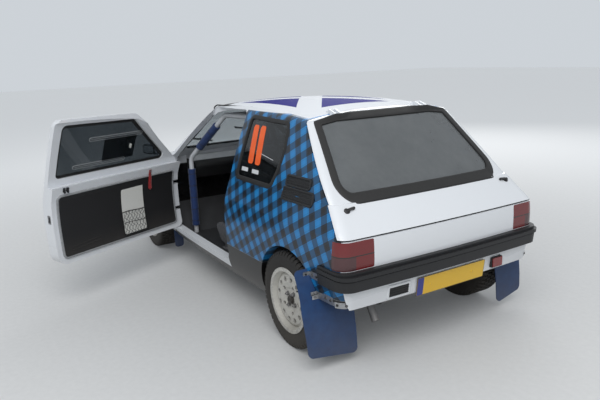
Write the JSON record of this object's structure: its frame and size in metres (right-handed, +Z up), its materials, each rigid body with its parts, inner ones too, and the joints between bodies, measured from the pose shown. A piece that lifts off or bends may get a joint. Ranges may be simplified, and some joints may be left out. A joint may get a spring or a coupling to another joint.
{
  "type": "rally car",
  "caption": "Small three-door hatchback prepared for rallying, with a caged cabin, bucket seats, steered front wheels, opening doors, tailgate and bonnet.",
  "frame": {"origin": "on the ground, on the centre plane, midway between the front and rear axles", "axes": "+X forward, +Y to the car's left, +Z up"},
  "size_m": [3.6725, 2.6878, 1.366],
  "materials": {
    "body_paint": "gloss",
    "rim_paint": "satin",
    "underbody": "matt, dusty",
    "cage_paint": "satin",
    "steel": "satin",
    "engine_metal": "matt",
    "guard": "brushed",
    "black_plastic": "grained",
    "door_plastic": "smooth",
    "lamp_red": "clear over red",
    "lamp_clear": "clear",
    "glass": "dusty",
    "flap_rubber": "matt",
    "tyre": "matt",
    "seat_fabric": "woven",
    "grip": "suede"
  },
  "bodies": {
    "body": {"floor_pan": "underbody", "tunnel": "underbody", "boot_floor": "underbody", "wheel_housings": "underbody", "body_side_left": "body_paint", "body_side_right": "body_paint", "roof_panel": "body_paint", "front_wings": "body_paint", "scuttle": "body_paint", "front_panel": "body_paint", "inner_wings": "underbody", "rear_panel": "body_paint", "tail_lamps": "lamp_red", "headlamps": "lamp_clear", "grille": "black_plastic", "rear_bumper": "black_plastic", "front_bumper": "black_plastic", "windscreen": "glass", "quarter_windows": "glass", "engine": "engine_metal", "sump_guard": "guard", "front_suspension": "steel", "rear_axle": "steel", "exhaust": "steel", "front_mudflaps": "flap_rubber", "rear_mudflaps": "flap_rubber", "roll_cage": "cage_paint", "seats": "seat_fabric", "dashboard": "black_plastic", "steering_column": "steel", "gear_lever": "steel", "handbrake": "steel", "door_hinges": "steel", "tailgate_hinges": "steel"},
    "left_door": {"left_door": "body_paint", "left_door_window": "glass", "left_door_card": "door_plastic", "left_door_mirror": "body_paint"},
    "right_door": {"right_door": "body_paint", "right_door_window": "glass", "right_door_card": "door_plastic", "right_door_mirror": "body_paint"},
    "tailgate": {"tailgate": "body_paint", "tailgate_window": "glass"},
    "bonnet": {"bonnet": "body_paint"},
    "steering_wheel": {"steering_wheel": "grip"},
    "left_knuckle": {"left_knuckle": "steel"},
    "right_knuckle": {"right_knuckle": "steel"},
    "front_left_wheel": {"front_left_tyre": "tyre", "front_left_rim": "rim_paint"},
    "front_right_wheel": {"front_right_tyre": "tyre", "front_right_rim": "rim_paint"},
    "rear_left_wheel": {"rear_left_tyre": "tyre", "rear_left_rim": "rim_paint"},
    "rear_right_wheel": {"rear_right_tyre": "tyre", "rear_right_rim": "rim_paint"}
  },
  "joints": [
    {"name": "left_door_hinge", "type": "hinge", "parent": "body", "child": "left_door", "pos_m": [0.693, 0.752, 0.58], "axis": [0, 0, -1], "range_deg": [-66, 4]},
    {"name": "right_door_hinge", "type": "hinge", "parent": "body", "child": "right_door", "pos_m": [0.693, -0.752, 0.58], "axis": [0, 0, 1], "range_deg": [0, 70]},
    {"name": "tailgate_hinge", "type": "hinge", "parent": "body", "child": "tailgate", "pos_m": [-1.1005, 0, 1.34], "axis": [0, 1, 0], "range_deg": [0, 80]},
    {"name": "bonnet_hinge", "type": "hinge", "parent": "body", "child": "bonnet", "pos_m": [0.863, 0, 0.9], "axis": [0, -1, 0], "range_deg": [0, 55]},
    {"name": "left_steer", "type": "hinge", "parent": "body", "child": "left_knuckle", "pos_m": [1.21, 0.612, 0.2], "axis": [0, -0.2, 0.9798], "range_deg": [-33, 33]},
    {"name": "right_steer", "type": "hinge", "parent": "body", "child": "right_knuckle", "pos_m": [1.21, -0.612, 0.2], "axis": [0, 0.2, 0.9798], "range_deg": [-33.01, 33.01]},
    {"name": "steering_wheel_turn", "type": "hinge", "parent": "body", "child": "steering_wheel", "pos_m": [0.345, -0.35, 0.79], "axis": [-0.9063, 0, 0.4226], "range_deg": [-528.1, 528.1]},
    {"name": "front_left_spin", "type": "hinge", "parent": "left_knuckle", "child": "front_left_wheel", "pos_m": [1.21, 0.69, 0.289], "axis": [0, 1, 0], "continuous": true},
    {"name": "front_right_spin", "type": "hinge", "parent": "right_knuckle", "child": "front_right_wheel", "pos_m": [1.21, -0.69, 0.289], "axis": [0, 1, 0], "continuous": true},
    {"name": "rear_left_spin", "type": "hinge", "parent": "body", "child": "rear_left_wheel", "pos_m": [-1.21, 0.661, 0.289], "axis": [0, 1, 0], "continuous": true},
    {"name": "rear_right_spin", "type": "hinge", "parent": "body", "child": "rear_right_wheel", "pos_m": [-1.21, -0.661, 0.289], "axis": [0, 1, 0], "continuous": true}
  ],
  "couplings": [
    {"joint": "right_steer", "follows": "left_steer", "ratio": 1},
    {"joint": "steering_wheel_turn", "follows": "left_steer", "ratio": 16}
  ]
}
